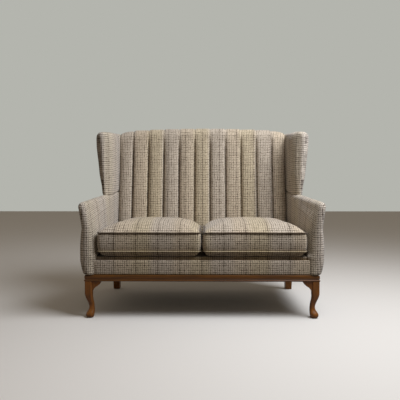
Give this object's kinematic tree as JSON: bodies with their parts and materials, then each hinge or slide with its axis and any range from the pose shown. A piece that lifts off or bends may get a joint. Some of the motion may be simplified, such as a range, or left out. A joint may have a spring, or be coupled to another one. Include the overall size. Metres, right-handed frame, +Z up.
{
  "type": "two-seater wing-back settee",
  "caption": "Wing-back settee with a channelled high back, flared low arms, loose box seat cushions, a moulded plinth and cabriole front legs, covered in tweed check.",
  "frame": {"origin": "centre of the footprint on the floor", "axes": "+Z up, +X along the width to the right as seen from the front, the front faces -Y"},
  "size_m": [1.33, 0.7918, 1.1147],
  "materials": {
    "show_wood": "stained and satin lacquered",
    "beech": "planed",
    "spring_steel": "oil tempered wire",
    "zinc_steel": "zinc plated",
    "foam": "cut foam",
    "webbing": "woven elastic",
    "black_cloth": "non-woven cloth",
    "zip_tape": "woven tape",
    "zip_metal": "satin",
    "glide_plastic": "moulded nylon",
    "piping_tweed": "wool tweed over cord",
    "platform_cloth": "plain woven cloth",
    "check_tweed": "woven wool tweed check"
  },
  "bodies": {
    "settee": {"back_lower_rail": "beech", "back_top_rail": "beech", "back_uprights": "beech", "back_webbing": "webbing", "centre_seat_rail": "beech", "corner_blocks": "beech", "dust_cover": "black_cloth", "foot_glides": "glide_plastic", "frame_dowels": "beech", "front_border": "check_tweed", "front_plinth": "show_wood", "front_seat_rail": "beech", "inner_back_pad": "check_tweed", "left_arm_pad": "check_tweed", "left_arm_post": "beech", "left_arm_rail": "beech", "left_back_post": "beech", "left_front_ears": "show_wood", "left_front_leg": "show_wood", "left_outer_arm": "check_tweed", "left_plinth": "show_wood", "left_rear_leg": "show_wood", "left_seat_rail": "beech", "left_tack_rail": "beech", "left_wing_board": "beech", "left_wing_pad": "check_tweed", "leg_bolts": "zinc_steel", "outer_back": "check_tweed", "plinth_screws": "zinc_steel", "rear_plinth": "show_wood", "rear_seat_rail": "beech", "right_arm_pad": "check_tweed", "right_arm_post": "beech", "right_arm_rail": "beech", "right_back_post": "beech", "right_front_ears": "show_wood", "right_front_leg": "show_wood", "right_outer_arm": "check_tweed", "right_plinth": "show_wood", "right_rear_leg": "show_wood", "right_seat_rail": "beech", "right_tack_rail": "beech", "right_wing_board": "beech", "right_wing_pad": "check_tweed", "seat_platform": "platform_cloth", "serpentine_springs": "spring_steel", "spring_clips": "spring_steel", "tie_wires": "spring_steel"},
    "left_cushion": {"left_cushion_cover": "check_tweed", "left_cushion_core": "foam", "left_top_piping": "piping_tweed", "left_bottom_piping": "piping_tweed", "left_zip_tape": "zip_tape"},
    "right_cushion": {"right_cushion_cover": "check_tweed", "right_cushion_core": "foam", "right_top_piping": "piping_tweed", "right_bottom_piping": "piping_tweed", "right_zip_tape": "zip_tape"},
    "left_zip": {"left_zip_slider": "zip_metal"},
    "right_zip": {"right_zip_slider": "zip_metal"}
  },
  "joints": [
    {"name": "left_cushion_lift", "type": "slide", "parent": "settee", "child": "left_cushion", "axis": [0, 0, 1], "range_m": [0, 0.8]},
    {"name": "right_cushion_lift", "type": "slide", "parent": "settee", "child": "right_cushion", "axis": [0, 0, 1], "range_m": [0, 0.8]},
    {"name": "left_zip_slide", "type": "slide", "parent": "left_cushion", "child": "left_zip", "axis": [1, 0, 0], "range_m": [0, 0.42]},
    {"name": "right_zip_slide", "type": "slide", "parent": "right_cushion", "child": "right_zip", "axis": [-1, 0, 0], "range_m": [0, 0.42]}
  ]
}
